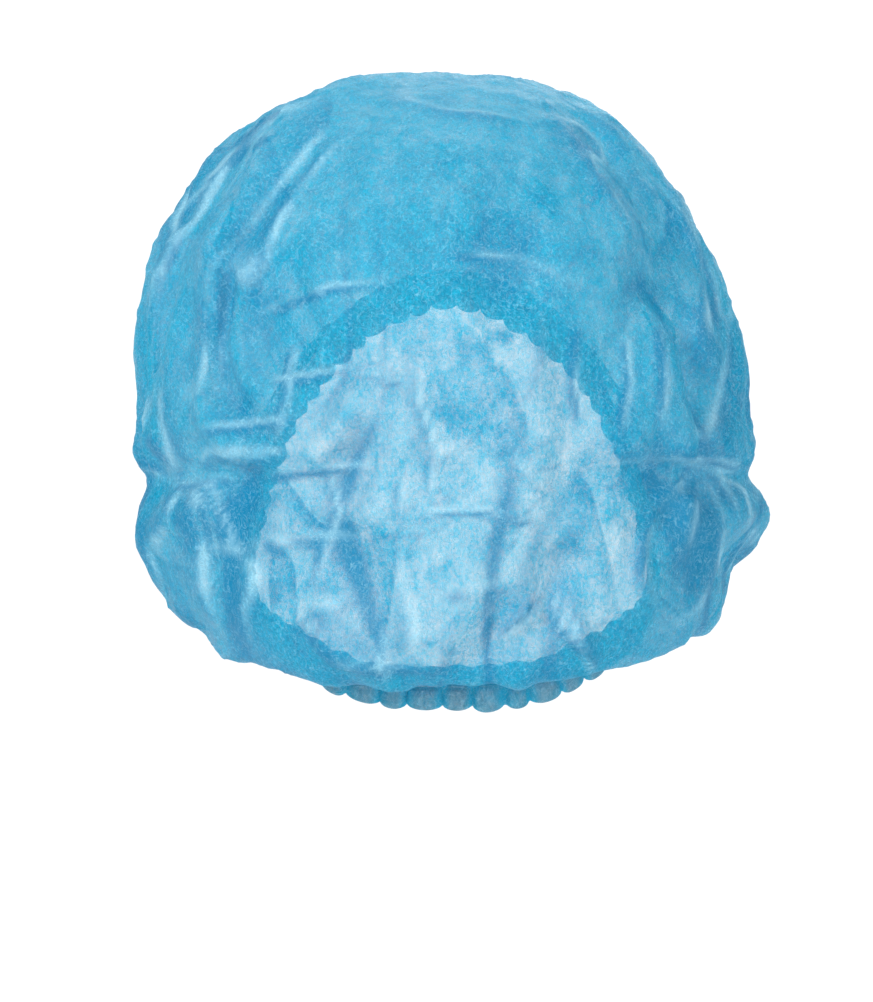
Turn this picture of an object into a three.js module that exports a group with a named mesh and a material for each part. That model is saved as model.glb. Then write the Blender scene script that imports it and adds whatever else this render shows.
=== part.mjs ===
import * as THREE from 'three';

// Disposable bouffant cap in thin non-woven cloth, in the shape that it has when worn.
// Millimetres, +Z up, wearer facing +Y. The origin is the centre of the head opening.

// Overall sizes, the height taken from the lowest edge of the ruffle
const capWidth = 232;
const capDepth = 250;
const capHeight = 227;
const crownSetback = 10;

// Head opening: its plan is an ellipse, and its front edge lies higher than the nape
const openingWidth = 148;
const openingDepth = 175;
const hemRise = 147;

// Cloth and elastic
const clothWall = 1;
const elasticThickness = 1.6;
const clearance = 0.3;

// Bag below its fullest line: the neck that stands up from the hem, the sag that hangs back below it,
// and the rise from the hem to where the bag is fullest
const neckRise = 5;
const sag = 18;
const fullness = 50;

// Ruffle: scallops round the hem, their drop below the seam, and how far a lobe swells
const scallopCount = 56;
const ruffleDrop = 10;
const lobeSwell = 1.4;
const hemTuck = 1.2;

// Gathers run up from the hem, one for each pair of scallops
const gatherDepth = 2.4;
const gatherReach = 0.42;

// Folds: the most that one stands out or sinks in, and its half width
const foldDepth = 8;
const foldWidth = 13;

// Fineness of the faceted cloth
const columnsPerGather = 4;
const columnsPerScallop = 3;
const crownLevels = 16;
const undersideLevels = 5;
const levelCrowding = 1.25;
const elasticSides = 6;

// Hem line by turn in degrees from the wearer's side towards the front, the same left and right:
// rise as a share of hemRise, leftDroop and rightDroop of sag, belly of fullness
const hemRows = [
  { turn: -90, rise: 0.0, leftDroop: 0.0, rightDroop: 0.0, belly: 1.0 },
  { turn: -65, rise: 0.018, leftDroop: 0.15, rightDroop: 0.0, belly: 1.0 },
  { turn: -45, rise: 0.085, leftDroop: 0.4, rightDroop: 0.15, belly: 0.9 },
  { turn: -20, rise: 0.18, leftDroop: 0.75, rightDroop: 0.45, belly: 0.62 },
  { turn: 10, rise: 0.39, leftDroop: 0.75, rightDroop: 0.6, belly: 0.22 },
  { turn: 40, rise: 0.735, leftDroop: 0.5, rightDroop: 0.5, belly: 0.4 },
  { turn: 65, rise: 0.925, leftDroop: 0.4, rightDroop: 0.35, belly: 0.45 },
  { turn: 90, rise: 1.0, leftDroop: 0.35, rightDroop: 0.35, belly: 0.45 },
];

// Level sections of the crown, from the top down: height as a share of capHeight,
// left and right reach of capWidth, back and front reach of capDepth
const sectionRows = [
  { height: 1.0, left: 0.0, right: 0.0, back: 0.0, front: 0.0 },
  { height: 0.97, left: 0.218, right: 0.19, back: 0.216, front: 0.232 },
  { height: 0.928, left: 0.312, right: 0.262, back: 0.316, front: 0.336 },
  { height: 0.868, left: 0.383, right: 0.316, back: 0.396, front: 0.41 },
  { height: 0.8, left: 0.422, right: 0.362, back: 0.452, front: 0.458 },
  { height: 0.723, left: 0.47, right: 0.409, back: 0.484, front: 0.486 },
  { height: 0.638, left: 0.485, right: 0.444, back: 0.496, front: 0.49 },
  { height: 0.532, left: 0.49, right: 0.466, back: 0.5, front: 0.484 },
  { height: 0.417, left: 0.494, right: 0.466, back: 0.496, front: 0.48 },
  { height: 0.357, left: 0.478, right: 0.469, back: 0.484, front: 0.476 },
  { height: 0.281, left: 0.498, right: 0.502, back: 0.486, front: 0.47 },
  { height: 0.213, left: 0.458, right: 0.4, back: 0.464, front: 0.46 },
  { height: 0.128, left: 0.42, right: 0.39, back: 0.43, front: 0.44 },
  { height: 0.0, left: 0.4, right: 0.4, back: 0.38, front: 0.4 },
];

// Folds, each from one place to another on the bag: turn in degrees round from +X towards +Y, height
// as a share of capHeight, depth as a share of foldDepth, out or in, and width of foldWidth
const foldRows = [
  { name: 'long left ridge, top', turn: -128, height: 0.94, toTurn: -136, toHeight: 0.7, depth: 0.8, width: 0.9 },
  { name: 'long left ridge, foot', turn: -136, height: 0.7, toTurn: -156, toHeight: 0.45, depth: 0.7, width: 0.9 },
  { name: 'left valley', turn: -156, height: 0.86, toTurn: -158, toHeight: 0.6, depth: -0.8, width: 1.2 },
  { name: 'left waist', turn: -182, height: 0.36, toTurn: -125, toHeight: 0.36, depth: -0.4, width: 0.9 },
  { name: 'left upper pleat', turn: -146, height: 0.455, toTurn: -102, toHeight: 0.45, depth: 0.45, width: 0.7 },
  { name: 'left lower pleat', turn: -150, height: 0.24, toTurn: -100, toHeight: 0.25, depth: -0.5, width: 0.8 },
  { name: 'right ridge', turn: -62, height: 0.43, toTurn: -10, toHeight: 0.405, depth: 0.6, width: 0.7 },
  { name: 'right waist', turn: -50, height: 0.37, toTurn: 2, toHeight: 0.36, depth: -0.45, width: 0.9 },
  { name: 'right outline ridge', turn: -31, height: 0.9, toTurn: -20, toHeight: 0.5, depth: 0.5, width: 0.7 },
  { name: 'right outline valley', turn: -44, height: 0.88, toTurn: -36, toHeight: 0.52, depth: -0.6, width: 0.8 },
  { name: 'right slanting pleat', turn: -34, height: 0.37, toTurn: -56, toHeight: 0.27, depth: -0.6, width: 0.6 },
  { name: 'tent fold', turn: -70, height: 0.2, toTurn: -86, toHeight: 0.07, depth: -1.1, width: 0.7 },
  { name: 'crown dent', turn: 60, height: 0.93, toTurn: 110, toHeight: 0.92, depth: -0.6, width: 1.2 },
  { name: 'front left pleat', turn: 125, height: 0.88, toTurn: 150, toHeight: 0.62, depth: -0.8, width: 0.9 },
  { name: 'front right pleat', turn: 52, height: 0.86, toTurn: 28, toHeight: 0.6, depth: -0.7, width: 0.9 },
];

const clothColour = 0x2f9bd0;
const casingColour = 0x3d8fb8;
const elasticColour = 0xe8ecee;

// Places worked out from the sizes above
const ruffleFoot = -hemRise / 2 - ruffleDrop;
const bellyLevel = undersideLevels / crownLevels;
const gatherCount = Math.round(scallopCount / 2);
const seatDepth = hemTuck + clearance + elasticThickness / 2;
const lipInside = elasticThickness / 2 + clearance;
const lipOutside = lipInside + clothWall;
const capMiddle = new THREE.Vector3(0, -crownSetback, ruffleFoot + capHeight * 0.45);

for (const row of sectionRows) row.tilt = Math.acos(row.height);

// Smooth value of one column of a table at a place on its key column
function readTable(rows, key, column, at, endsLevel) {
  const last = rows.length - 1;
  const slope = (a, b) => (rows[b][column] - rows[a][column]) / (rows[b][key] - rows[a][key]);
  const tangent = (k) => {
    if (k > 0 && k < last) return slope(k - 1, k + 1);
    if (endsLevel) return 0;
    return k === 0 ? slope(0, 1) : slope(last - 1, last);
  };
  let i = 0;
  while (i < last - 1 && at > rows[i + 1][key]) i += 1;
  const span = rows[i + 1][key] - rows[i][key];
  const t = THREE.MathUtils.clamp((at - rows[i][key]) / span, 0, 1);
  const t2 = t * t;
  const t3 = t2 * t;
  return (2 * t3 - 3 * t2 + 1) * rows[i][column]
    + (t3 - 2 * t2 + t) * span * tangent(i)
    + (3 * t2 - 2 * t3) * rows[i + 1][column]
    + (t3 - t2) * span * tangent(i + 1);
}

function readHem(angle, column) {
  const turn = THREE.MathUtils.radToDeg(Math.asin(Math.sin(angle)));
  return readTable(hemRows, 'turn', column, turn, true);
}

// Plan reach of the crown at a tilt below its top, along one side of it
function readSection(tilt, angle) {
  const across = Math.cos(angle) > 0 ? 'right' : 'left';
  const along = Math.sin(angle) > 0 ? 'front' : 'back';
  return {
    x: capWidth * readTable(sectionRows, 'tilt', across, tilt, false) * Math.cos(angle),
    y: capDepth * readTable(sectionRows, 'tilt', along, tilt, false) * Math.sin(angle) - crownSetback,
  };
}

// The closed line along which crown and casing meet
class HemLine extends THREE.Curve {
  getPoint(t, target = new THREE.Vector3()) {
    const angle = 2 * Math.PI * t;
    return target.set(
      openingWidth / 2 * Math.cos(angle),
      openingDepth / 2 * Math.sin(angle),
      hemRise * (readHem(angle, 'rise') - 0.5),
    );
  }
}

const hemLine = new HemLine();

// Point of the hem line at a share of its length, with its outward and downward directions
function hemFrame(along) {
  const t = hemLine.getUtoTmapping(THREE.MathUtils.euclideanModulo(along, 1));
  const angle = 2 * Math.PI * t;
  const out = new THREE.Vector3(Math.cos(angle) / openingWidth, Math.sin(angle) / openingDepth, 0).normalize();
  const down = hemLine.getTangent(t).cross(out).normalize();
  return { angle, point: hemLine.getPoint(t), out, down };
}

// How far the folds move the bag out or in at a place on it
function foldHeight(angle, point) {
  const turn = THREE.MathUtils.radToDeg(angle);
  const wrap = (degrees) => THREE.MathUtils.euclideanModulo(degrees + 180, 360) - 180;
  const turnLength = THREE.MathUtils.degToRad(Math.hypot(point.x, point.y + crownSetback));
  const spot = new THREE.Vector3();
  const nearest = new THREE.Vector3();
  let total = 0;
  for (const fold of foldRows) {
    const start = new THREE.Vector3(0, fold.height * capHeight, 0);
    const end = new THREE.Vector3((fold.toTurn - fold.turn) * turnLength, fold.toHeight * capHeight, 0);
    spot.set(wrap(turn - fold.turn) * turnLength, point.z - ruffleFoot, 0);
    new THREE.Line3(start, end).closestPointToPoint(spot, true, nearest);
    const reach = spot.distanceTo(nearest) / (fold.width * foldWidth);
    total += fold.depth * foldDepth * Math.exp(-reach * reach);
  }
  return total;
}

// Point on the side of the bag above its fullest line
function crownSide(angle, tilt, target = new THREE.Vector3()) {
  const section = readSection(tilt, angle);
  return target.set(section.x, section.y, ruffleFoot + capHeight * Math.cos(tilt));
}

// Underside of the bag: up out of the casing, over into the sag, and round up to the fullest line
function undersideCurve(hem, bellyTilt) {
  const belly = crownSide(hem.angle, bellyTilt);
  const droop = readHem(hem.angle, Math.cos(hem.angle) > 0 ? 'rightDroop' : 'leftDroop');
  const rim = hem.point.clone().addScaledVector(hem.down, hemTuck);
  const neck = hem.point.clone().addScaledVector(hem.down, -neckRise).addScaledVector(hem.out, neckRise / 4);
  const foot = hem.point.clone().lerp(belly, 0.5).setZ(hem.point.z - sag * droop);
  const side = hem.point.clone().lerp(belly, 0.8).setZ(THREE.MathUtils.lerp(foot.z, belly.z, 0.3));
  return new THREE.CatmullRomCurve3([rim, neck, foot, side, belly], false, 'centripetal');
}

// Middle of the crown's cloth: along runs round the hem, up from the hem at 0 to the top at 1
function crownPoint(along, up) {
  const hem = hemFrame(along);
  const hemHeight = hem.point.z - ruffleFoot;
  const bellyHeight = hemHeight + fullness * readHem(hem.angle, 'belly');
  const bellyTilt = Math.acos(Math.min(bellyHeight / capHeight, 0.99));
  const point = new THREE.Vector3();
  if (up < bellyLevel) {
    undersideCurve(hem, bellyTilt).getPoint(up / bellyLevel, point);
  } else {
    const climbed = ((up - bellyLevel) / (1 - bellyLevel)) ** levelCrowding;
    crownSide(hem.angle, bellyTilt * (1 - climbed), point);
  }
  const fromSeam = THREE.MathUtils.smoothstep(up, bellyLevel / 5, bellyLevel * 0.8);
  const gatherFade = fromSeam * (1 - THREE.MathUtils.smoothstep(up, bellyLevel / 2, gatherReach));
  const gather = gatherDepth * gatherFade * Math.cos(2 * Math.PI * gatherCount * along);
  const outward = point.clone().sub(capMiddle).normalize();
  return point.addScaledVector(outward, gather + fromSeam * foldHeight(hem.angle, point));
}

// Which way the crown's cloth faces
function crownNormal(along, up) {
  if (up === 1) return new THREE.Vector3(0, 0, 1);
  const step = 0.0005;
  const acrossCloth = crownPoint(along + step, up).sub(crownPoint(along - step, up));
  const upCloth = crownPoint(along, up + step).sub(crownPoint(along, Math.max(up - step, 0)));
  return acrossCloth.cross(upCloth).normalize();
}

// Closed mesh from its points and the corners of its triangles
function makeSolid(points, corners) {
  const geometry = new THREE.BufferGeometry();
  geometry.setAttribute('position', new THREE.Float32BufferAttribute(points.flatMap((p) => p.toArray()), 3));
  geometry.setIndex(corners);
  geometry.computeVertexNormals();
  return geometry;
}

// Ring whose closed section is given by a function of the share round the hem
function makeRing(columns, sectionAt) {
  const points = [];
  const corners = [];
  for (let i = 0; i < columns; i += 1) points.push(...sectionAt(i / columns));
  const sides = points.length / columns;
  for (let i = 0; i < columns; i += 1) {
    for (let j = 0; j < sides; j += 1) {
      const a = i * sides + j;
      const b = ((i + 1) % columns) * sides + j;
      const c = ((i + 1) % columns) * sides + (j + 1) % sides;
      const d = i * sides + (j + 1) % sides;
      corners.push(a, c, b, a, d, c);
    }
  }
  return makeSolid(points, corners);
}

// The bag: an outer and an inner skin, joined along the rim
function makeCrown() {
  const columns = gatherCount * columnsPerGather;
  const points = [];
  const corners = [];
  for (const side of [1, -1]) {
    for (let level = 0; level < crownLevels; level += 1) {
      for (let i = 0; i < columns; i += 1) {
        const along = i / columns;
        const up = level / crownLevels;
        points.push(crownPoint(along, up).addScaledVector(crownNormal(along, up), side * clothWall / 2));
      }
    }
    points.push(crownPoint(0, 1).addScaledVector(crownNormal(0, 1), side * clothWall / 2));
  }
  const skin = crownLevels * columns + 1;
  for (let i = 0; i < columns; i += 1) {
    const next = (i + 1) % columns;
    for (let level = 0; level < crownLevels - 1; level += 1) {
      const a = level * columns + i;
      const b = level * columns + next;
      const c = b + columns;
      const d = a + columns;
      corners.push(a, b, c, a, c, d);
      corners.push(skin + a, skin + c, skin + b, skin + a, skin + d, skin + c);
    }
    const a = (crownLevels - 1) * columns + i;
    const b = (crownLevels - 1) * columns + next;
    corners.push(a, b, skin - 1, skin + a, 2 * skin - 1, skin + b);
    corners.push(i, skin + i, skin + next, i, skin + next, next);
  }
  return makeSolid(points, corners);
}

// The doubled edge of the cloth: a channel open towards the crown, swollen into a lobe at each scallop
function makeCasing() {
  return makeRing(scallopCount * columnsPerScallop, (along) => {
    const hem = hemFrame(along);
    const lobe = Math.abs(Math.sin(Math.PI * scallopCount * along));
    const foot = ruffleDrop * (0.84 + 0.16 * lobe);
    const waist = ruffleDrop * 0.55;
    const section = [
      { out: lipOutside, down: 0 },
      { out: lipOutside + lobeSwell * lobe, down: waist },
      { out: clothWall * 0.8 + lobeSwell * 0.5 * lobe, down: foot },
      { out: -clothWall * 0.8, down: foot },
      { out: -lipOutside - lobeSwell * 0.3 * lobe, down: waist },
      { out: -lipOutside, down: 0 },
      { out: -lipInside, down: 0 },
      { out: -lipInside, down: waist },
      { out: 0, down: foot - clothWall },
      { out: lipInside, down: waist },
      { out: lipInside, down: 0 },
    ];
    return section.map((corner) => hem.point.clone()
      .addScaledVector(hem.out, corner.out)
      .addScaledVector(hem.down, corner.down));
  });
}

// The closed loop of elastic, in the channel just below the crown's rim
function makeElastic() {
  return makeRing(scallopCount * columnsPerScallop / 2, (along) => {
    const hem = hemFrame(along);
    const section = [];
    for (let i = 0; i < elasticSides; i += 1) {
      const angle = 2 * Math.PI * i / elasticSides;
      section.push(hem.point.clone()
        .addScaledVector(hem.out, elasticThickness / 2 * Math.cos(angle))
        .addScaledVector(hem.down, seatDepth + elasticThickness / 2 * Math.sin(angle)));
    }
    return section;
  });
}

function makePiece(name, geometry, colour, roughness) {
  const material = new THREE.MeshStandardMaterial({ color: colour, roughness, metalness: 0 });
  const piece = new THREE.Mesh(geometry, material);
  piece.name = name;
  return piece;
}

const cap = new THREE.Group();
cap.add(makePiece('crown', makeCrown(), clothColour, 0.85));
cap.add(makePiece('hem_casing', makeCasing(), casingColour, 0.85));
cap.add(makePiece('elastic_cord', makeElastic(), elasticColour, 0.6));

export default cap;
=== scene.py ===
import math

import bpy
import numpy as np
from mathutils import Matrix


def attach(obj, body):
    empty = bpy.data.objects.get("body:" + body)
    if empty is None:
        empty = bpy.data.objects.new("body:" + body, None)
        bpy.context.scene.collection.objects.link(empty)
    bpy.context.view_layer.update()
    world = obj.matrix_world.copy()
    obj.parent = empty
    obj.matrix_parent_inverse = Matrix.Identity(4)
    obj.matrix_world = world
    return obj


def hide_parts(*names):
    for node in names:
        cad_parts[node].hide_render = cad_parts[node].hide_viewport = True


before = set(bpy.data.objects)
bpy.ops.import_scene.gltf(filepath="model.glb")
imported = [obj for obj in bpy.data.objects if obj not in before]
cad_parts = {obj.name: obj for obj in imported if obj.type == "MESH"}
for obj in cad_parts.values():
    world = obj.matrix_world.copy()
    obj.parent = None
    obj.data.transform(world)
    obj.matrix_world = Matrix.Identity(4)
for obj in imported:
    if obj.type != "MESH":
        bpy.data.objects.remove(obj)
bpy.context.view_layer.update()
scene = bpy.context.scene
print("frame loaded")

# The cap's form in millimetres, with the same sizes and tables as the solid model
cap = {
    "width": 232, "depth": 250, "height": 227, "setback": 10,
    "openingWidth": 148, "openingDepth": 175, "hemRise": 147,
    "neckRise": 5, "sag": 18, "fullness": 50,
    "scallops": 56, "ruffleDrop": 10, "hemTuck": 1.2,
    "foldDepth": 8, "foldWidth": 13,
}
cap["foot"] = -cap["hemRise"] / 2 - cap["ruffleDrop"]

# turn, rise, leftDroop, rightDroop, belly
hemTable = np.array([
    (-90, 0.0, 0.0, 0.0, 1.0),
    (-65, 0.018, 0.15, 0.0, 1.0),
    (-45, 0.085, 0.4, 0.15, 0.9),
    (-20, 0.18, 0.75, 0.45, 0.62),
    (10, 0.39, 0.75, 0.6, 0.22),
    (40, 0.735, 0.5, 0.5, 0.4),
    (65, 0.925, 0.4, 0.35, 0.45),
    (90, 1.0, 0.35, 0.35, 0.45),
])

# height, left, right, back, front
sectionTable = np.array([
    (1.0, 0.0, 0.0, 0.0, 0.0),
    (0.97, 0.218, 0.19, 0.216, 0.232),
    (0.928, 0.312, 0.262, 0.316, 0.336),
    (0.868, 0.383, 0.316, 0.396, 0.41),
    (0.8, 0.422, 0.362, 0.452, 0.458),
    (0.723, 0.47, 0.409, 0.484, 0.486),
    (0.638, 0.485, 0.444, 0.496, 0.49),
    (0.532, 0.49, 0.466, 0.5, 0.484),
    (0.417, 0.494, 0.466, 0.496, 0.48),
    (0.357, 0.478, 0.469, 0.484, 0.476),
    (0.281, 0.498, 0.502, 0.486, 0.47),
    (0.213, 0.458, 0.4, 0.464, 0.46),
    (0.128, 0.42, 0.39, 0.43, 0.44),
    (0.0, 0.4, 0.4, 0.38, 0.4),
])

# turn, height, to turn, to height, depth, width
foldTable = [
    (-128, 0.94, -136, 0.7, 0.8, 0.9),
    (-136, 0.7, -156, 0.45, 0.7, 0.9),
    (-156, 0.86, -158, 0.6, -0.8, 1.2),
    (-182, 0.36, -125, 0.36, -0.4, 0.9),
    (-146, 0.455, -102, 0.45, 0.45, 0.7),
    (-150, 0.24, -100, 0.25, -0.5, 0.8),
    (-62, 0.43, -10, 0.405, 0.6, 0.7),
    (-50, 0.37, 2, 0.36, -0.45, 0.9),
    (-31, 0.9, -20, 0.5, 0.5, 0.7),
    (-44, 0.88, -36, 0.52, -0.6, 0.8),
    (-34, 0.37, -56, 0.27, -0.6, 0.6),
    (-70, 0.2, -86, 0.07, -1.1, 0.7),
    (60, 0.93, 110, 0.92, -0.6, 1.2),
    (125, 0.88, 150, 0.62, -0.8, 0.9),
    (52, 0.86, 28, 0.6, -0.7, 0.9),
]


def readTable(keys, values, at, endsLevel):
    # smooth curve through a table's rows
    slopes = np.empty(len(keys))
    slopes[1:-1] = (values[2:] - values[:-2]) / (keys[2:] - keys[:-2])
    slopes[0] = 0 if endsLevel else (values[1] - values[0]) / (keys[1] - keys[0])
    slopes[-1] = 0 if endsLevel else (values[-1] - values[-2]) / (keys[-1] - keys[-2])
    i = np.clip(np.searchsorted(keys, at, side="right") - 1, 0, len(keys) - 2)
    span = keys[i + 1] - keys[i]
    t = np.clip((at - keys[i]) / span, 0, 1)
    return ((2 * t**3 - 3 * t**2 + 1) * values[i] + (t**3 - 2 * t**2 + t) * span * slopes[i]
            + (3 * t**2 - 2 * t**3) * values[i + 1] + (t**3 - t**2) * span * slopes[i + 1])


def smoothStep(x, low, high):
    t = np.clip((x - low) / (high - low), 0, 1)
    return t * t * (3 - 2 * t)


def hump(x, start, full, ebb, end):
    # rises from start to full and falls away from ebb to end
    return smoothStep(x, start, full) * (1 - smoothStep(x, ebb, end))


def unit(v):
    return v / np.maximum(np.linalg.norm(v, axis=-1, keepdims=True), 1e-9)


def readHem(angle, column):
    turn = np.degrees(np.arcsin(np.sin(angle)))
    return readTable(hemTable[:, 0], hemTable[:, column], turn, True)


def hemPoint(angle):
    return np.stack([cap["openingWidth"] / 2 * np.cos(angle), cap["openingDepth"] / 2 * np.sin(angle),
                     cap["hemRise"] * (readHem(angle, 1) - 0.5)], -1)


hemAngles = np.linspace(0, 2 * math.pi, 4097)
hemSteps = np.linalg.norm(np.diff(hemPoint(hemAngles), axis=0), axis=1)
hemLengths = np.concatenate([[0], np.cumsum(hemSteps)])
hemLength = hemLengths[-1]


def hemFrame(along):
    # place on the hem at a share of its length, with its directions out, down and along
    angle = np.interp(np.mod(along, 1) * hemLength, hemLengths, hemAngles)
    point = hemPoint(angle)
    tangent = unit(hemPoint(angle + 0.001) - hemPoint(angle - 0.001))
    out = unit(np.stack([np.cos(angle) / cap["openingWidth"], np.sin(angle) / cap["openingDepth"],
                         0 * angle], -1))
    down = unit(np.cross(tangent, out))
    return angle, point, out, down, tangent


def crownSide(angle, tilt):
    # side of the bag above its fullest line
    tilts = np.arccos(sectionTable[:, 0])
    left, right, back, front = (readTable(tilts, sectionTable[:, k], tilt, False) for k in range(1, 5))
    across = np.where(np.cos(angle) > 0, right, left)
    deep = np.where(np.sin(angle) > 0, front, back)
    return np.stack([cap["width"] * across * np.cos(angle),
                     cap["depth"] * deep * np.sin(angle) - cap["setback"],
                     cap["foot"] + cap["height"] * np.cos(tilt)], -1)


def underside(angle, point, out, down, bellyTilt, share):
    # up out of the hem, over into the sag, and round up to the fullest line
    belly = crownSide(angle, bellyTilt)
    droop = np.where(np.cos(angle) > 0, readHem(angle, 3), readHem(angle, 2))
    rim = point + cap["hemTuck"] * down
    neck = point - cap["neckRise"] * down + cap["neckRise"] / 4 * out
    foot = (point + belly) / 2
    foot[..., 2] = point[..., 2] - cap["sag"] * droop
    side = point + 0.8 * (belly - point)
    side[..., 2] = 0.7 * foot[..., 2] + 0.3 * belly[..., 2]
    knots = [2 * rim - neck, rim, neck, foot, side, belly, 2 * belly - side]
    result = np.zeros_like(point)
    climb = share * 4
    for k in range(4):
        p0, p1, p2, p3 = knots[k:k + 4]
        d0, d1, d2 = (np.maximum(np.linalg.norm(b - a, axis=-1, keepdims=True), 1e-6) ** 0.5
                      for a, b in ((p0, p1), (p1, p2), (p2, p3)))
        m1 = ((p1 - p0) / d0 - (p2 - p0) / (d0 + d1) + (p2 - p1) / d1) * d1
        m2 = ((p2 - p1) / d1 - (p3 - p1) / (d1 + d2) + (p3 - p2) / d2) * d1
        t = np.clip(climb - k, 0, 1)[..., None]
        curve = p1 + m1 * t + (3 * p2 - 3 * p1 - 2 * m1 - m2) * t**2 + (2 * p1 - 2 * p2 + m1 + m2) * t**3
        here = (climb >= k) if k == 0 else (climb > k)
        result = np.where(here[..., None], curve, result)
    return result


def foldHeight(angle, point):
    turn = np.degrees(angle)
    turnLength = np.radians(np.hypot(point[..., 0], point[..., 1] + cap["setback"]))
    total = np.zeros_like(turn)
    for turn0, height0, turn1, height1, depth, width in foldTable:
        dx = (turn1 - turn0) * turnLength
        dy = (height1 - height0) * cap["height"]
        sx = (np.mod(turn - turn0 + 180, 360) - 180) * turnLength
        sy = point[..., 2] - cap["foot"] - height0 * cap["height"]
        t = np.clip((sx * dx + sy * dy) / np.maximum(dx * dx + dy * dy, 1e-6), 0, 1)
        reach = np.hypot(sx - t * dx, sy - t * dy) / (width * cap["foldWidth"])
        total += depth * cap["foldDepth"] * np.exp(-reach**2)
    return total


undersideShare = 0.22
capMiddle = np.array([0, -cap["setback"], cap["foot"] + cap["height"] * 0.45])


def crownSurface(along, up):
    # the bag's cloth: along runs round the hem, up from the hem at 0 to the top at 1
    angle, point, out, down = hemFrame(along)[:4]
    bellyHeight = point[..., 2] - cap["foot"] + cap["fullness"] * readHem(angle, 4)
    bellyTilt = np.arccos(np.minimum(bellyHeight / cap["height"], 0.99))
    low = underside(angle, point, out, down, bellyTilt, np.clip(up / undersideShare, 0, 1))
    climbed = np.clip((up - undersideShare) / (1 - undersideShare), 0, 1)
    high = crownSide(angle, bellyTilt * (1 - climbed))
    surface = np.where((up < undersideShare)[..., None], low, high)
    fromSeam = smoothStep(up, undersideShare / 5, undersideShare * 0.8)
    outward = unit(surface - capMiddle)
    return surface + outward * (fromSeam * foldHeight(angle, surface))[..., None]


def gridNormals(points):
    # normals of a sheet that closes round its first axis
    across = np.roll(points, -1, 0) - np.roll(points, 1, 0)
    upwards = np.gradient(points, axis=1)
    normals = unit(np.cross(across, upwards))
    normals[:, -1] = unit(normals[:, -2].mean(0))
    return normals


def randomField(points, size, seed, octaves=1):
    # smooth chance waves about size long, mostly between -1 and 1
    rng = np.random.default_rng(seed)
    total = np.zeros(points.shape[:-1])
    for octave in range(octaves):
        for wave in range(28):
            direction = unit(rng.normal(size=points.shape[-1]))
            length = size * rng.uniform(0.7, 1.5) / 2**octave
            total += np.sin(points @ direction * (2 * math.pi / length) + rng.uniform(0, 6.28)) / 2**octave
    return total / 3.7


# Crown: the bag of thin cloth, let go slack and settled, then creased
crown = {
    "simColumns": 224, "simRows": 96,
    "frames": 28, "quality": 5, "clothMass": 0.1, "airDamping": 1.5, "gravityShare": 0.1,
    "stretchStiffness": 12, "shearStiffness": 3, "bendStiffness": 0.5,
    "hold": 0.1, "slackTop": 0.07, "slackLow": 0.26,
    "rippleShares": (0.5, -0.52), "ripplePasses": 3, "driftPasses": 70, "driftShare": 0.85,
    "gathers": 56, "pleats": 27, "broadPleats": 15,
    "gatherWander": 0.8, "pleatWander": 3.2, "broadWander": 4.5,
    "gatherBand": (0.012, 0.04, 0.06, 0.13), "pleatBand": (0.05, 0.14, 0.2, 0.38),
    "broadBand": (0.12, 0.26, 0.4, 0.8), "gatherDepth": 1.3, "pleatDepth": 3.4,
    "gatherDenseAndShade": 0.95, "pleatDenseAndShade": 0.8, "broadDenseAndShade": 0.5, "steepDenseAndShade": 0.9, "chanceDenseAndShade": 0.4,
    "waver": 0.2, "waverSize": 16,
    "crinkle": 0.3, "crinkleSize": 24, "fineCrinkle": 0.05, "fineSize": 4.5, "creaseRise": 0.5,
    "flatWidth": 0.53, "uvSpan": (0.72, 0.30),
}


def gatherHeight(along, up):
    # gathers at the hem run together into fewer and broader pleats higher up
    ring = np.stack([np.cos(2 * math.pi * along), np.sin(2 * math.pi * along)], -1)
    tall = np.concatenate([ring, up[..., None] * 2], -1)
    drift = randomField(ring, 0.7, 11) + 0.6 * randomField(tall, 0.6, 12)
    strength = np.clip(0.75 + 0.5 * randomField(ring, 0.3, 13), 0.2, 1.3)
    fine = hump(up, *crown["gatherBand"])
    middle = hump(up, *crown["pleatBand"])
    broad = hump(up, *crown["broadBand"])
    small = np.cos(2 * math.pi * crown["gathers"] * along + crown["gatherWander"] * drift)
    medium = np.cos(2 * math.pi * crown["pleats"] * along + crown["pleatWander"] * drift)
    large = np.cos(2 * math.pi * crown["broadPleats"] * along + crown["broadWander"] * drift)
    height = crown["gatherDepth"] * fine * small
    height += crown["pleatDepth"] * (0.6 * middle * strength * medium + broad * strength * large)
    # the cloth is seen denser in the valleys, where it lies together, and is painted darker there: painted
    # shade
    lines = (crown["gatherDenseAndShade"] * fine * (0.5 - 0.5 * small) ** 3
             + crown["pleatDenseAndShade"] * middle * strength * (0.5 - 0.5 * medium) ** 6)
    lines += crown["broadDenseAndShade"] * broad * strength * (0.5 - 0.5 * large) ** 8
    return height, lines


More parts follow.
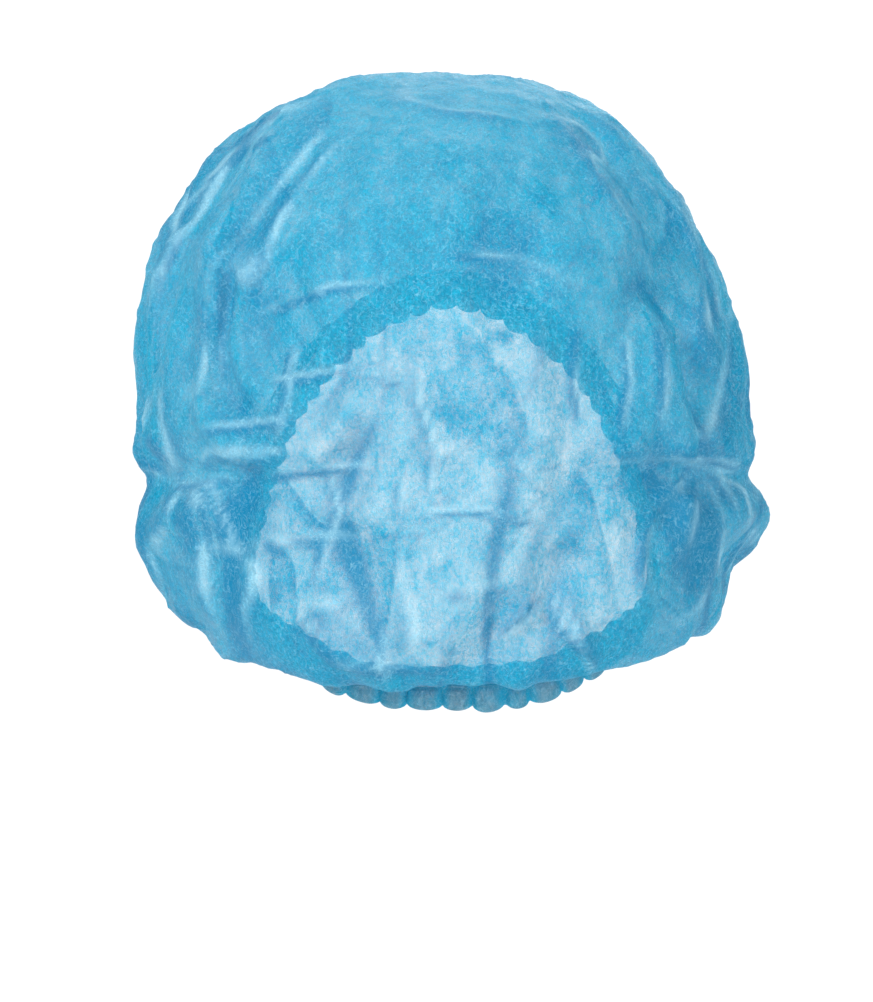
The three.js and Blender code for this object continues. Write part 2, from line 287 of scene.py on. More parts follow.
def settleCloth(points, hold, slack):
    # points is columns x rows x 3 in millimetres, the last row being the pole
    columns, rows = points.shape[0], points.shape[1] - 1
    flat = points[:, :rows].transpose(1, 0, 2).reshape(-1, 3)
    verts = np.vstack([flat, points[0, rows]]) * 0.001
    faces = clothFaces(columns, rows)
    mesh = bpy.data.meshes.new("slackBag")
    mesh.from_pydata(verts.tolist(), [], faces)
    bag = bpy.data.objects.new("slackBag", mesh)
    scene.collection.objects.link(bag)
    for name, share in (("hold", hold), ("slack", slack)):
        group = bag.vertex_groups.new(name=name)
        for row in range(rows):
            for column in range(columns):
                group.add([row * columns + column], float(share[column, row]), "REPLACE")
        group.add([rows * columns], float(share[0, rows]), "REPLACE")
    cloth = bag.modifiers.new("Cloth", "CLOTH")
    cloth.settings.quality = crown["quality"]
    cloth.settings.mass = crown["clothMass"]
    cloth.settings.air_damping = crown["airDamping"]
    cloth.settings.tension_stiffness = crown["stretchStiffness"]
    cloth.settings.compression_stiffness = crown["stretchStiffness"]
    cloth.settings.shear_stiffness = crown["shearStiffness"]
    cloth.settings.bending_stiffness = crown["bendStiffness"]
    cloth.settings.vertex_group_mass = "hold"
    cloth.settings.pin_stiffness = 1
    cloth.settings.vertex_group_shrink = "slack"
    cloth.settings.shrink_min = 0
    cloth.settings.shrink_max = -1
    cloth.settings.effector_weights.gravity = crown["gravityShare"]
    cloth.collision_settings.use_collision = False
    cloth.point_cache.frame_start = 1
    cloth.point_cache.frame_end = crown["frames"]
    for f in range(1, crown["frames"] + 1):
        scene.frame_set(f)
    settled = bag.evaluated_get(bpy.context.evaluated_depsgraph_get()).to_mesh()
    moved = np.empty(len(verts) * 3)
    settled.vertices.foreach_get("co", moved)
    moved = moved.reshape(-1, 3) * 1000
    bpy.data.objects.remove(bag)
    scene.frame_set(1)
    result = np.empty_like(points)
    result[:, :rows] = moved[:-1].reshape(rows, columns, 3).transpose(1, 0, 2)
    result[:, rows] = moved[-1]
    return result


def clothFaces(columns, rows):
    faces = []
    for row in range(rows - 1):
        for column in range(columns):
            a = row * columns + column
            b = row * columns + (column + 1) % columns
            faces.append((a, b, b + columns, a + columns))
    for column in range(columns):
        a = (rows - 1) * columns + column
        b = (rows - 1) * columns + (column + 1) % columns
        faces.append((a, b, rows * columns))
    return faces


def doubleFineness(points):
    # twice as many columns and rows, on smooth curves through the old ones
    def between(p, axis, wrap):
        if wrap:
            p0, p1, p2, p3 = (np.roll(p, -k, axis) for k in (-1, 0, 1, 2))
        else:
            padded = np.concatenate([2 * p[:, :1] - p[:, 1:2], p, np.roll(p, len(p) // 2, 0)[:, -2:-1]], 1)
            p0, p1, p2, p3 = padded[:, :-3], padded[:, 1:-2], padded[:, 2:-1], padded[:, 3:]
        return (9 * (p1 + p2) - p0 - p3) / 16
    columns, rows = points.shape[:2]
    wide = np.empty((columns * 2, rows, 3))
    wide[0::2] = points
    wide[1::2] = between(points, 0, True)
    tall = np.empty((columns * 2, rows * 2 - 1, 3))
    tall[:, 0::2] = wide
    tall[:, 1::2] = between(wide, 1, False)
    return tall


# The camera stands where the picture was taken: 1.6 m behind, level, a little left of the middle
view = {"distance": 1600, "x": -4.95, "z": -10.4, "scale": 0.3665, "width": 873, "height": 1002}


def toPicture(points):
    near = view["distance"] / (view["distance"] + points[..., 1]) / view["scale"]
    across = view["width"] / 2 + (points[..., 0] - view["x"]) * near
    down = view["height"] / 2 - (points[..., 2] - view["z"]) * near
    return across, down


# Creases on the back of the bag, each a line of picture points
# kind, half width in mm, height in mm, points
creaseTable = [
    ("pleat", 7, 2.2, [(345, 90), (300, 136), (255, 196), (224, 258), (208, 312), (190, 372), (170, 420)]),
    ("pleat", 5, 1.5, [(360, 112), (312, 170), (262, 236), (230, 300), (212, 370), (204, 430)]),
    ("pleat", 6, 1.8, [(330, 84), (262, 122), (212, 170), (182, 226), (164, 292), (158, 352)]),
    ("pleat", 6, 2.0, [(240, 240), (232, 300), (222, 360), (226, 424)]),
    ("pleat", 6, 2.2, [(185, 480), (160, 510), (148, 556), (160, 604)]),
    ("pleat", 7, 2.6, [(185, 480), (190, 530), (196, 590), (222, 644)]),
    ("pleat", 7, 2.4, [(185, 480), (220, 520), (250, 580), (262, 650)]),
    ("pleat", 5, 1.6, [(196, 470), (240, 452), (300, 450)]),
    ("pleat", 5, 1.2, [(185, 476), (168, 452), (160, 420), (158, 380)]),
    ("pleat", 7, 2.2, [(758, 464), (716, 455), (672, 450), (630, 446), (586, 440)]),
    ("pleat", 7, 2.6, [(700, 462), (730, 496), (742, 540), (724, 590)]),
    ("pleat", 7, 2.4, [(700, 462), (706, 520), (690, 580), (664, 640)]),
    ("pleat", 6, 2.0, [(694, 466), (664, 510), (644, 560), (640, 620)]),
    ("pleat", 6, 1.8, [(704, 448), (726, 400), (734, 350), (728, 290)]),
    ("pleat", 7, 2.2, [(566, 104), (622, 148), (664, 208), (694, 276), (708, 350), (706, 430)]),
    ("pleat", 5, 1.5, [(540, 110), (590, 160), (632, 222), (660, 292)]),
    ("pleat", 6, 2.0, [(300, 606), (330, 640), (350, 676)]),
    ("pleat", 8, 4.8, [(556, 566), (532, 606), (496, 644), (462, 696)]),
    ("ridge", 2.0, 1.2, [(330, 590), (368, 612), (384, 648), (380, 690)]),
    ("ridge", 1.9, 1.2, [(300, 640), (350, 664), (430, 672), (480, 664)]),
    ("pleat", 7, 3.2, [(600, 672), (570, 640), (548, 586)]),
    ("pleat", 8, 3.0, [(300, 600), (340, 612), (366, 650), (372, 690)]),
    ("pleat", 5, 1.6, [(400, 560), (404, 610), (396, 662)]),
    ("pleat", 5, 1.4, [(376, 96), (440, 104), (520, 118)]),
    ("pleat", 5, 1.3, [(420, 330), (410, 390), (424, 450), (414, 520)]),
    ("pleat", 5, 1.3, [(520, 300), (528, 370), (518, 440), (530, 500)]),
    ("ridge", 1.8, 0.9, [(140, 484), (186, 487), (250, 481), (330, 471), (392, 468)]),
    ("ridge", 1.7, 0.9, [(186, 436), (226, 430), (265, 425), (310, 418)]),
    ("ridge", 1.7, 0.9, [(196, 560), (240, 551), (275, 546), (330, 540), (372, 541)]),
    ("ridge", 1.8, 1.0, [(326, 466), (335, 512), (320, 552), (311, 590)]),
    ("ridge", 1.7, 1.0, [(292, 340), (287, 380), (279, 419), (268, 446)]),
    ("ridge", 1.7, 0.9, [(395, 470), (400, 530), (392, 600)]),
    ("ridge", 1.8, 1.0, [(577, 318), (570, 380), (580, 436)]),
    ("ridge", 1.7, 1.0, [(620, 330), (627, 380), (617, 440)]),
    ("ridge", 1.7, 1.0, [(655, 316), (663, 380), (655, 440)]),
    ("ridge", 1.7, 0.9, [(352, 596), (376, 630), (384, 672)]),
    ("ridge", 1.6, 1.2, [(545, 592), (520, 622), (486, 650), (470, 676)]),
    ("ridge", 1.6, 1.2, [(545, 592), (560, 630), (592, 660)]),
    ("ridge", 1.8, 1.1, [(188, 482), (160, 452), (140, 430)]),
    ("ridge", 1.8, 1.1, [(188, 482), (162, 470), (138, 462)]),
    ("ridge", 1.8, 1.0, [(188, 482), (206, 520), (214, 562)]),
    ("ridge", 1.8, 1.0, [(702, 460), (672, 490), (650, 520), (640, 560), (640, 606)]),
    ("ridge", 1.8, 1.0, [(702, 460), (690, 505), (684, 552)]),
    ("ridge", 1.8, 1.0, [(702, 460), (727, 500), (744, 534)]),
    ("ridge", 1.6, 1.1, [(756, 470), (716, 462), (672, 454), (622, 448)]),
    ("ridge", 1.6, 0.8, [(248, 322), (330, 290), (404, 285)]),
    ("ridge", 1.6, 0.8, [(430, 255), (520, 262), (600, 300)]),
    ("ridge", 1.6, 0.8, [(258, 388), (345, 372), (424, 392)]),
    ("ridge", 1.6, 0.8, [(400, 520), (470, 512), (560, 530)]),
    ("ridge", 1.6, 0.8, [(430, 604), (480, 590), (530, 594)]),
    ("ridge", 1.6, 0.9, [(196, 196), (240, 156), (300, 118)]),
    ("ridge", 1.6, 0.9, [(170, 262), (186, 214), (222, 176)]),
    ("ridge", 1.7, 0.9, [(150, 330), (160, 280), (182, 236)]),
    ("ridge", 1.7, 0.9, [(640, 150), (682, 212), (708, 280), (722, 350)]),
]


# How a crease is shaped, with its painted shade and painted highlight lines: sides, laps and crests in half
# widths, the rest in mm
creaseShape = {
    "samples": 80, "reach": 3, "wander": 2.5, "wanderSize": 35,
    "pleatRise": 1.25, "steepSide": 0.42, "lapFrom": -1.6, "lapTo": 0.1, "lapEdge": 2.2, "lapDenseAndShade": 0.6,
    "pleatHighlightAt": 0.3, "pleatHighlightWidth": 1.15,
    "step": 0.7, "stepLength": 7, "ridgeHighlight": 0.7, "ridgeHighlightWidth": 1.1,
}


# Where the settled bag is drawn in or out a little to the picture's outline
# picture x and y, reach in mm, move across and up in mm
nudgeTable = [
    (750, 574, 15, -6.5, 0.5), (186, 634, 13, 6.5, 1.5), (128, 412, 17, 4.0, 0), (138, 260, 30, 3.2, 0),
    (735, 280, 30, -2.6, 0), (752, 400, 16, -1.8, 0), (745, 496, 8, 1.6, 0), (130, 505, 8, 2.4, 0),
    (500, 78, 22, 0, 1.4), (752, 556, 9, -3.2, 0), (150, 586, 10, 2.6, 0), (136, 464, 7, -2.8, 0),
    (752, 464, 7, 2.0, 0), (160, 180, 24, 1.6, 0),
]


def nudgeCloth(points):
    across, down = toPicture(points)
    total = np.zeros_like(points)
    for x, y, reach, moveX, moveZ in nudgeTable:
        share = np.exp(-((across - x) ** 2 + (down - y) ** 2) * (view["scale"] / reach) ** 2)
        total += share[..., None] * (moveX, 0, moveZ)
    return points + total


def evened(values):
    # running mean of nine values
    return np.convolve(np.pad(values, 4, "edge"), np.ones(9) / 9, "valid")


def creaseCloth(points, bunchAndPaintedLight, crestHighlight):
    normals = gridNormals(points)
    for kind, width, size, line in creaseTable:
        across, down = toPicture(points)
        scale = view["scale"] * (view["distance"] + points[..., 1]) / view["distance"]
        line = np.array(line, float)
        lengths = np.concatenate([[0], np.cumsum(np.linalg.norm(np.diff(line, axis=0), axis=1))])
        samples = np.linspace(0, lengths[-1], creaseShape["samples"])
        path = np.stack([np.interp(samples, lengths, line[:, k]) for k in range(2)], -1)
        heading = unit(np.gradient(path, axis=0))
        for k in range(3):
            heading = unit(np.apply_along_axis(evened, 0, heading))
        spread = creaseShape["reach"] * width / view["scale"]
        near = ((across > path[:, 0].min() - spread) & (across < path[:, 0].max() + spread)
                & (down > path[:, 1].min() - spread) & (down < path[:, 1].max() + spread)
                & (normals[..., 1] < 0.1) & (points[..., 1] < 10))
        spot = np.stack([across[near], down[near]], -1)
        best = ((spot[:, None] - path[None]) ** 2).sum(-1).argmin(1)
        gap = spot - path[best]
        lead = heading[best]
        side = gap[:, 0] * lead[:, 1] - gap[:, 1] * lead[:, 0]
        signed = side * scale[near]
        beyond = (gap * lead).sum(-1) * scale[near]
        share = best / (len(path) - 1)
        patchy = 0.8 + 0.3 * randomField(points[near], 30, 41)
        fade = smoothStep(share, 0, 0.2) * (1 - smoothStep(share, 0.75, 1)) * np.exp(-(beyond / width) ** 2)
        fade *= np.clip(patchy, 0.3, 1) * (1 - smoothStep(points[near][:, 1], -35, 8))
        fade *= 1 - smoothStep(normals[near][:, 1], -0.25, 0.1)
        n = normals[near]
        if kind == "pleat":
            # soft on one side and steep on the other, where the cloth lies doubled; the lap is seen denser
            # and painted darker (painted shade), and a painted highlight line runs along the crest
            wander = creaseShape["wander"] * randomField(points[near], creaseShape["wanderSize"], 42)
            moved = signed + wander
            steepness = np.where(moved > 0, creaseShape["steepSide"] * width, width)
            rise = creaseShape["pleatRise"] * size * fade * np.exp(-(moved / steepness) ** 2)
            points[near] += n * rise[:, None]
            lip = creaseShape["lapTo"] * width
            lap = hump(moved, creaseShape["lapFrom"] * width, lip, lip, lip + creaseShape["lapEdge"])
            bunchAndPaintedLight[near] = np.maximum(bunchAndPaintedLight[near], creaseShape["lapDenseAndShade"] * lap * fade)
            peak = (moved - creaseShape["pleatHighlightAt"] * width) / creaseShape["pleatHighlightWidth"]
            crestHighlight[near] = np.maximum(crestHighlight[near], np.exp(-peak**2) * fade)
        else:
            # a ridge is seen denser and painted darker along its top (painted shade), with a painted
            # highlight line along one edge
            rise = np.exp(-(signed / width) ** 2) * fade
            step = np.tanh(signed / width) * np.exp(-np.abs(signed) / creaseShape["stepLength"]) * fade
            points[near] += n * (size * (rise + creaseShape["step"] * step))[:, None]
            bunchAndPaintedLight[near] = np.maximum(bunchAndPaintedLight[near], rise)
            peak = (signed - width) / creaseShape["ridgeHighlightWidth"]
            crestHighlight[near] = np.maximum(crestHighlight[near], creaseShape["ridgeHighlight"] * np.exp(-peak**2) * fade)


# size in mm, stretch along x, y and z, half width in mm, seed
chanceTable = [
    (46, (1, 1, 0.42), 0.9, 51), (40, (0.45, 0.45, 1), 0.8, 52), (30, (1, 1, 0.8), 0.7, 53),
]


def chanceCreases(points, up):
    # thin creases wherever a slow chance field passes through zero, in patches
    rise = np.zeros(points.shape[:2])
    for size, stretch, width, seed in chanceTable:
        field = randomField(points * stretch, size, seed)
        slope = np.zeros_like(field)
        for axis in (0, 1):
            change = np.roll(field, -1, axis) - np.roll(field, 1, axis)
            length = np.linalg.norm(np.roll(points, -1, axis) - np.roll(points, 1, axis), axis=-1)
            slope += (change / np.maximum(length, 0.3)) ** 2
        away = np.abs(field) / np.maximum(np.sqrt(slope), 0.004)
        patch = smoothStep(randomField(points, 55, seed + 10), -0.1, 0.7)
        rise = np.maximum(rise, np.exp(-(away / width) ** 2) * patch)
    return rise * smoothStep(up, 0.05, 0.12) * (1 - smoothStep(up, 0.93, 0.98))


def eased(points, share):
    # each point moved by a share of the way to the middle of its neighbours
    points = points + share * (0.5 * (np.roll(points, 1, 0) + np.roll(points, -1, 0)) - points)
    middle = points[:, 1:-1] + share * (0.5 * (points[:, 2:] + points[:, :-2]) - points[:, 1:-1])
    return np.concatenate([points[:, :1], middle, points[:, -1:]], 1)


def makeCrown():
    columns, rows = crown["simColumns"], crown["simRows"]
    along, up = np.meshgrid(np.arange(columns) / columns, np.arange(rows + 1) / rows, indexing="ij")
    shape = crownSurface(along, up)
    shape[:, -1] = shape[:, -1].mean(0)
    normals = gridNormals(shape)
    smooth = shape.copy()
    waver = crown["waver"] * randomField(shape, crown["waverSize"], 3)
    shape = shape + normals * (gatherHeight(along, up)[0] + waver)[..., None]
    shape[:, -1] = shape[:, -1].mean(0)
    fromHem = smoothStep(up, 0.01, 0.06)
    hold = 1 - (1 - crown["hold"]) * fromHem
    slack = crown["slackLow"] + (crown["slackTop"] - crown["slackLow"]) * smoothStep(up, 0.25, 0.8)
    slack *= fromHem * (1 + 0.3 * randomField(shape * (1.6, 1.6, 0.8), 60, 5))
    shape = settleCloth(shape, hold, np.clip(slack, 0, 1))
    # the finest ripples go and the folds stay, and the bag as a whole keeps its place
    for share in crown["rippleShares"] * crown["ripplePasses"]:
        shape = eased(shape, share)
    drift = shape - smooth
    for k in range(crown["driftPasses"]):
        drift = eased(drift, 0.5)
    shape = nudgeCloth(shape - crown["driftShare"] * drift)
    print("bag settled")
    # how much the settled cloth stands steep to the smooth bag: steep cloth is seen bunched and painted
    # darker, a painted shade on the fold sides
    fine = doubleFineness(shape)
    base = doubleFineness(smooth)
    steep = (gridNormals(fine) * gridNormals(base)).sum(-1)
    bunchAndPaintedLight = np.clip(crown["steepDenseAndShade"] * (1 / np.clip(steep, 0.45, 1) - 1), 0, 0.8)
    crestHighlight = np.zeros_like(bunchAndPaintedLight)
    creaseCloth(fine, bunchAndPaintedLight, crestHighlight)
    fineAlong, fineUp = np.meshgrid(np.arange(len(fine)) / len(fine), np.linspace(0, 1, fine.shape[1]),
                                    indexing="ij")
    bunchAndPaintedLight = np.maximum(bunchAndPaintedLight, gatherHeight(fineAlong, fineUp)[1])
    chance = chanceCreases(fine, fineUp)
    # the chance creases are seen denser and painted darker: painted shade
    bunchAndPaintedLight = np.maximum(bunchAndPaintedLight, crown["chanceDenseAndShade"] * chance)
    # the crest lines are painted highlights, broken into patches
    crestHighlight *= np.clip(0.7 + 0.5 * randomField(fine, 24, 61), 0.1, 1)
    normals = gridNormals(fine)
    crinkle = 1 - 2 * np.abs(np.clip(randomField(fine, crown["crinkleSize"], 21, 2), -1, 1))
    small = randomField(fine, crown["fineSize"], 22)
    relief = crown["crinkle"] * crinkle + crown["fineCrinkle"] * small + crown["creaseRise"] * chance
    fine += normals * relief[..., None]
    fine[:, -1] = fine[:, -1].mean(0)
    return fine, bunchAndPaintedLight, crestHighlight


def clothObject(name, points, faces, uvs, attributes):
    mesh = bpy.data.meshes.new(name)
    mesh.from_pydata((points * 0.001).tolist(), [], faces)
    layer = mesh.uv_layers.new(name="cloth")
    layer.data.foreach_set("uv", uvs.astype(np.float32).ravel())
    for key, values in attributes.items():
        attribute = mesh.attributes.new(key, "FLOAT", "POINT")
        attribute.data.foreach_set("value", values.astype(np.float32).ravel())
    mesh.validate()
    mesh.shade_smooth()
    piece = bpy.data.objects.new(name, mesh)
    scene.collection.objects.link(piece)
    return piece


crownPoints, crownBunchAndPaintedLight, crownCrestHighlight = makeCrown()
columns, rows = crownPoints.shape[0], crownPoints.shape[1] - 1
crownFaces = clothFaces(columns, rows)
crownUv = []
for row in range(rows - 1):
    low, high = row / rows, (row + 1) / rows
    for column in range(columns):
        left, right = column / columns, (column + 1) / columns
        crownUv += [(left, low), (right, low), (right, high), (left, high)]
for column in range(columns):
    left, right, low = column / columns, (column + 1) / columns, (rows - 1) / rows
    crownUv += [(left, low), (right, low), ((column + 0.5) / columns, 1)]
crownUv = np.array(crownUv) * crown["uvSpan"]
crownFlat = np.vstack([crownPoints[:, :rows].transpose(1, 0, 2).reshape(-1, 3), crownPoints[0, rows]])
bunchAndPaintedLightFlat = np.append(crownBunchAndPaintedLight[:, :rows].T.ravel(), 0)
crestHighlightFlat = np.append(crownCrestHighlight[:, :rows].T.ravel(), 0)
upFlat = np.append(np.repeat(np.arange(rows) / rows, columns), 1)
crownCloth = clothObject("crownCloth", crownFlat, crownFaces, crownUv,
                         {"bunchAndPaintedLight": bunchAndPaintedLightFlat, "crestHighlight": crestHighlightFlat, "up": upFlat})
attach(crownCloth, "root")
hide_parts("crown")
print("crown made, area", round(sum(p.area for p in crownCloth.data.polygons), 4))

# Ruffle: the doubled edge below the elastic, in puffed lobes with pinched creases between
ruffle = {
    "columns": 1008, "rows": 28, "drop": 10.6, "neck": 1.5, "swell": 2.9, "pinch": 0.3,
    "edgeShift": 0.17, "leastHeight": 0.9, "leastPuff": 0.65, "push": 0.8, "lean": 0.6,
    "waver": 0.3, "waverSize": 3.2, "creaseWidth": 0.17, "uvSpan": (1.3, 0.024),
}


def makeRuffle():
    count = cap["scallops"]
    columns, rows = ruffle["columns"], ruffle["rows"]
    rng = np.random.default_rng(7)
    edges = np.arange(count) + rng.uniform(-ruffle["edgeShift"], ruffle["edgeShift"], count)
    height = rng.uniform(ruffle["leastHeight"], 1.0, count)
    puff = rng.uniform(ruffle["leastPuff"], 1.0, count)
    lean = rng.uniform(-1, 1, count)
    push = rng.uniform(-ruffle["push"], ruffle["push"], count)
    place = np.arange(columns) / columns * count
    lobe = np.searchsorted(edges, np.mod(place - edges[0], count) + edges[0], side="right") - 1
    start = edges[lobe]
    end = np.append(edges[1:], edges[0] + count)[lobe]
    share = (np.mod(place - edges[0], count) + edges[0] - start) / (end - start)
    bulge = np.clip(np.sin(math.pi * share), 0, 1) ** 0.5
    turn = np.linspace(0, math.pi, rows)
    along = place / count
    point, out, down, tangent = hemFrame(along)[1:]
    drop = ruffle["drop"] * (0.7 + (height[lobe] - 0.7) * bulge)
    points = np.empty((columns, rows, 3))
    for j, a in enumerate(turn):
        depth = math.sin(a) ** 0.85
        below = smoothStep(depth, 0.15, 0.5)
        fullness = ruffle["pinch"] - ruffle["neck"] + bulge * puff[lobe] * ruffle["swell"]
        thick = ruffle["neck"] + below * fullness
        outward = thick * math.cos(a) + below * (push[lobe] * bulge + 0.25 * np.sin(3 * math.pi * share))
        aside = below * bulge * lean[lobe] * ruffle["lean"]
        points[:, j] = (point + out * outward[:, None] + down * (drop * depth)[:, None]
                        + tangent * aside[:, None])
    sides = hump(np.sin(turn), 0.1, 0.5, 0.8, 0.98)
    waver = ruffle["waver"] * randomField(points * (1, 1, 0.4), ruffle["waverSize"], 31)
    points += gridNormals(points) * (waver * sides)[..., None]
    # the pinched creases between lobes, seen denser and painted a brighter cyan: painted highlight
    rib = np.exp(-((0.5 - np.abs(share - 0.5)) / ruffle["creaseWidth"]) ** 2)
    return points, rib


def bandFaces(columns, rows, bands, span):
    # a band that closes round its columns, and round its rows too where it has as many bands as rows
    faces, uvs = [], []
    for row in range(bands):
        for column in range(columns):
            after, above = (column + 1) % columns, (row + 1) % rows
            faces.append((row * columns + column, above * columns + column,
                          above * columns + after, row * columns + after))
            left, right = column / columns * span[0], (column + 1) / columns * span[0]
            low, high = row / rows * span[1], (row + 1) / rows * span[1]
            uvs += [(left, low), (left, high), (right, high), (right, low)]
    return faces, np.array(uvs)


rufflePoints, ruffleRib = makeRuffle()
columns, rows = rufflePoints.shape[:2]
ruffleFaces, ruffleUv = bandFaces(columns, rows, rows - 1, ruffle["uvSpan"])
ribBunchAndHighlight = np.tile(ruffleRib, rows)
ruffleUp = np.repeat(np.sin(np.linspace(0, math.pi, rows)), columns)
ruffleEdge = clothObject("gatheredEdge", rufflePoints.transpose(1, 0, 2).reshape(-1, 3), ruffleFaces,
                         ruffleUv, {"bunchAndPaintedLight": ribBunchAndHighlight, "up": ruffleUp})
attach(ruffleEdge, "root")
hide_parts("hem_casing")
print("ruffle made")

# Elastic: a thin covered cord that lies in the doubled edge
elastic = {
    "columns": 900, "sides": 10, "radius": 0.8, "rib": 0.07, "ribs": 420,
    "seatGap": 0.3, "waver": 0.12,
}


def makeElastic():
    columns, sides = elastic["columns"], elastic["sides"]
    along = np.arange(columns) / columns
    point, out, down = hemFrame(along)[1:4]
    seat = cap["hemTuck"] + elastic["seatGap"] + elastic["radius"]
    wave = elastic["waver"] * np.sin(2 * math.pi * cap["scallops"] * along)
    points = np.empty((columns, sides, 3))
    for j in range(sides):
        a = 2 * math.pi * j / sides
        ribbing = 0.5 + 0.5 * np.cos(2 * math.pi * elastic["ribs"] * along + 2 * a)
        radius = elastic["radius"] - elastic["rib"] * ribbing
        points[:, j] = (point + out * (radius * math.cos(a) + wave)[:, None]
                        + down * (seat + radius * math.sin(a))[:, None])
    return points


elasticPoints = makeElastic()
columns, sides = elasticPoints.shape[:2]
elasticFaces, elasticUv = bandFaces(columns, sides, sides, (1, 1))
elasticLoop = clothObject("elasticLoop", elasticPoints.transpose(1, 0, 2).reshape(-1, 3), elasticFaces,
                          elasticUv, {})
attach(elasticLoop, "root")
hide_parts("elastic_cord")
print("elastic made")


# Shader maths
class Value:
    def __init__(self, tree, socket):
        self.tree = tree
        self.socket = socket

    def math(self, operation, *others):
        node = self.tree.nodes.new("ShaderNodeMath")
        node.operation = operation
        for k, value in enumerate((self,) + others):
            if isinstance(value, Value):
                self.tree.links.new(value.socket, node.inputs[k])
            else:
                node.inputs[k].default_value = value
        return Value(self.tree, node.outputs[0])

    def __add__(self, other):
        return self.math("ADD", other)

    def __radd__(self, other):
        return self.math("ADD", other)

    def __sub__(self, other):
        return self.math("SUBTRACT", other)

    def __rsub__(self, other):
        return self * -1 + other

    def __mul__(self, other):
        return self.math("MULTIPLY", other)

    def __rmul__(self, other):
        return self.math("MULTIPLY", other)

    def __abs__(self):
        return self.math("ABSOLUTE")

    def clamped(self, low=0.0, high=1.0):
        return self.math("MAXIMUM", low).math("MINIMUM", high)

    def between(self, low, high):
        node = self.tree.nodes.new("ShaderNodeMapRange")
        node.interpolation_type = "SMOOTHSTEP"
        self.tree.links.new(self.socket, node.inputs["Value"])
        node.inputs["From Min"].default_value = low
        node.inputs["From Max"].default_value = high
        return Value(self.tree, node.outputs["Result"])


class Shader:
    def __init__(self, name):
        self.material = bpy.data.materials.new(name)
        self.material.use_nodes = True
        self.tree = self.material.node_tree
        self.tree.nodes.clear()
        self.output = self.tree.nodes.new("ShaderNodeOutputMaterial")

    def add(self, kind, settings=None, **inputs):
        node = self.tree.nodes.new(kind)
        for key, value in (settings or {}).items():
            setattr(node, key, value)
        for key, value in inputs.items():
            socket = node.inputs[key.replace("_", " ")]
            if isinstance(value, Value):
                self.tree.links.new(value.socket, socket)
            elif isinstance(value, bpy.types.NodeSocket):
                self.tree.links.new(value, socket)
            else:
                socket.default_value = value
        return node

    def noise(self, vector, scale, detail=2.0, roughness=0.5, distortion=0.0):
        node = self.add("ShaderNodeTexNoise", None, Scale=scale, Detail=detail, Roughness=roughness,
                        Distortion=distortion, Vector=vector)
        return Value(self.tree, node.outputs["Fac"])

    def stretched(self, vector, turn, scale):
        node = self.add("ShaderNodeMapping", None, Vector=vector, Rotation=turn, Scale=scale)
        return node.outputs["Vector"]

    def attribute(self, name):
        node = self.add("ShaderNodeAttribute", {"attribute_name": name})
        return Value(self.tree, node.outputs["Fac"])


# Thin non-woven: fibres laid at random, clouded thick and thin, pressed in rows of tiny dots
# the low-tone colour is reached in thick clouds and, as painted shade, in creases and folds; the pale colour
# is a painted highlight
clothLook = {
    "colour": (0.006, 0.490, 0.710, 1), "pale": (0.42, 0.80, 0.94, 1), "cloudAndCreaseLight": (0.000, 0.270, 0.490, 1),
    "cover": 0.74, "fibre": 0.18, "line": 0.09, "cloud": 0.7, "dot": 0.035, "lap": 0.22, "bunchAndPaintedLight": 0.9,
    "roughness": 0.36, "shine": 0.3, "glow": 0.45, "dotSpacing": 0.0026,
    "bumpStrength": 0.5, "bumpDepth": 0.0004,
    "tone": 0.8, "toneCloud": 0.9, "toneFibre": 0.3, "toneLie": 0.2, "paintedCreaseLight": 1.1, "toneLap": 0.45,
    "lineGlint": 0.25, "dotGlint": 0.1, "crestHighlightWeight": 0.95,
}

# scale, detail, roughness and distortion of the cloth's chance patterns
grain = {
    "fibres": (780, 3, 0.62, 0.9), "lie": (900, 2, 0.6, 1.2), "bend": (230, 1.5, 0.5, 1.4),
    "loop": (340, 1.5, 0.5, 1.8), "cloud": (75, 4, 0.62, 0.4), "patch": (190, 2, 0.5),
    "slow": (16, 1.5, 0.4, 0.5), "clump": (22, 1),
}


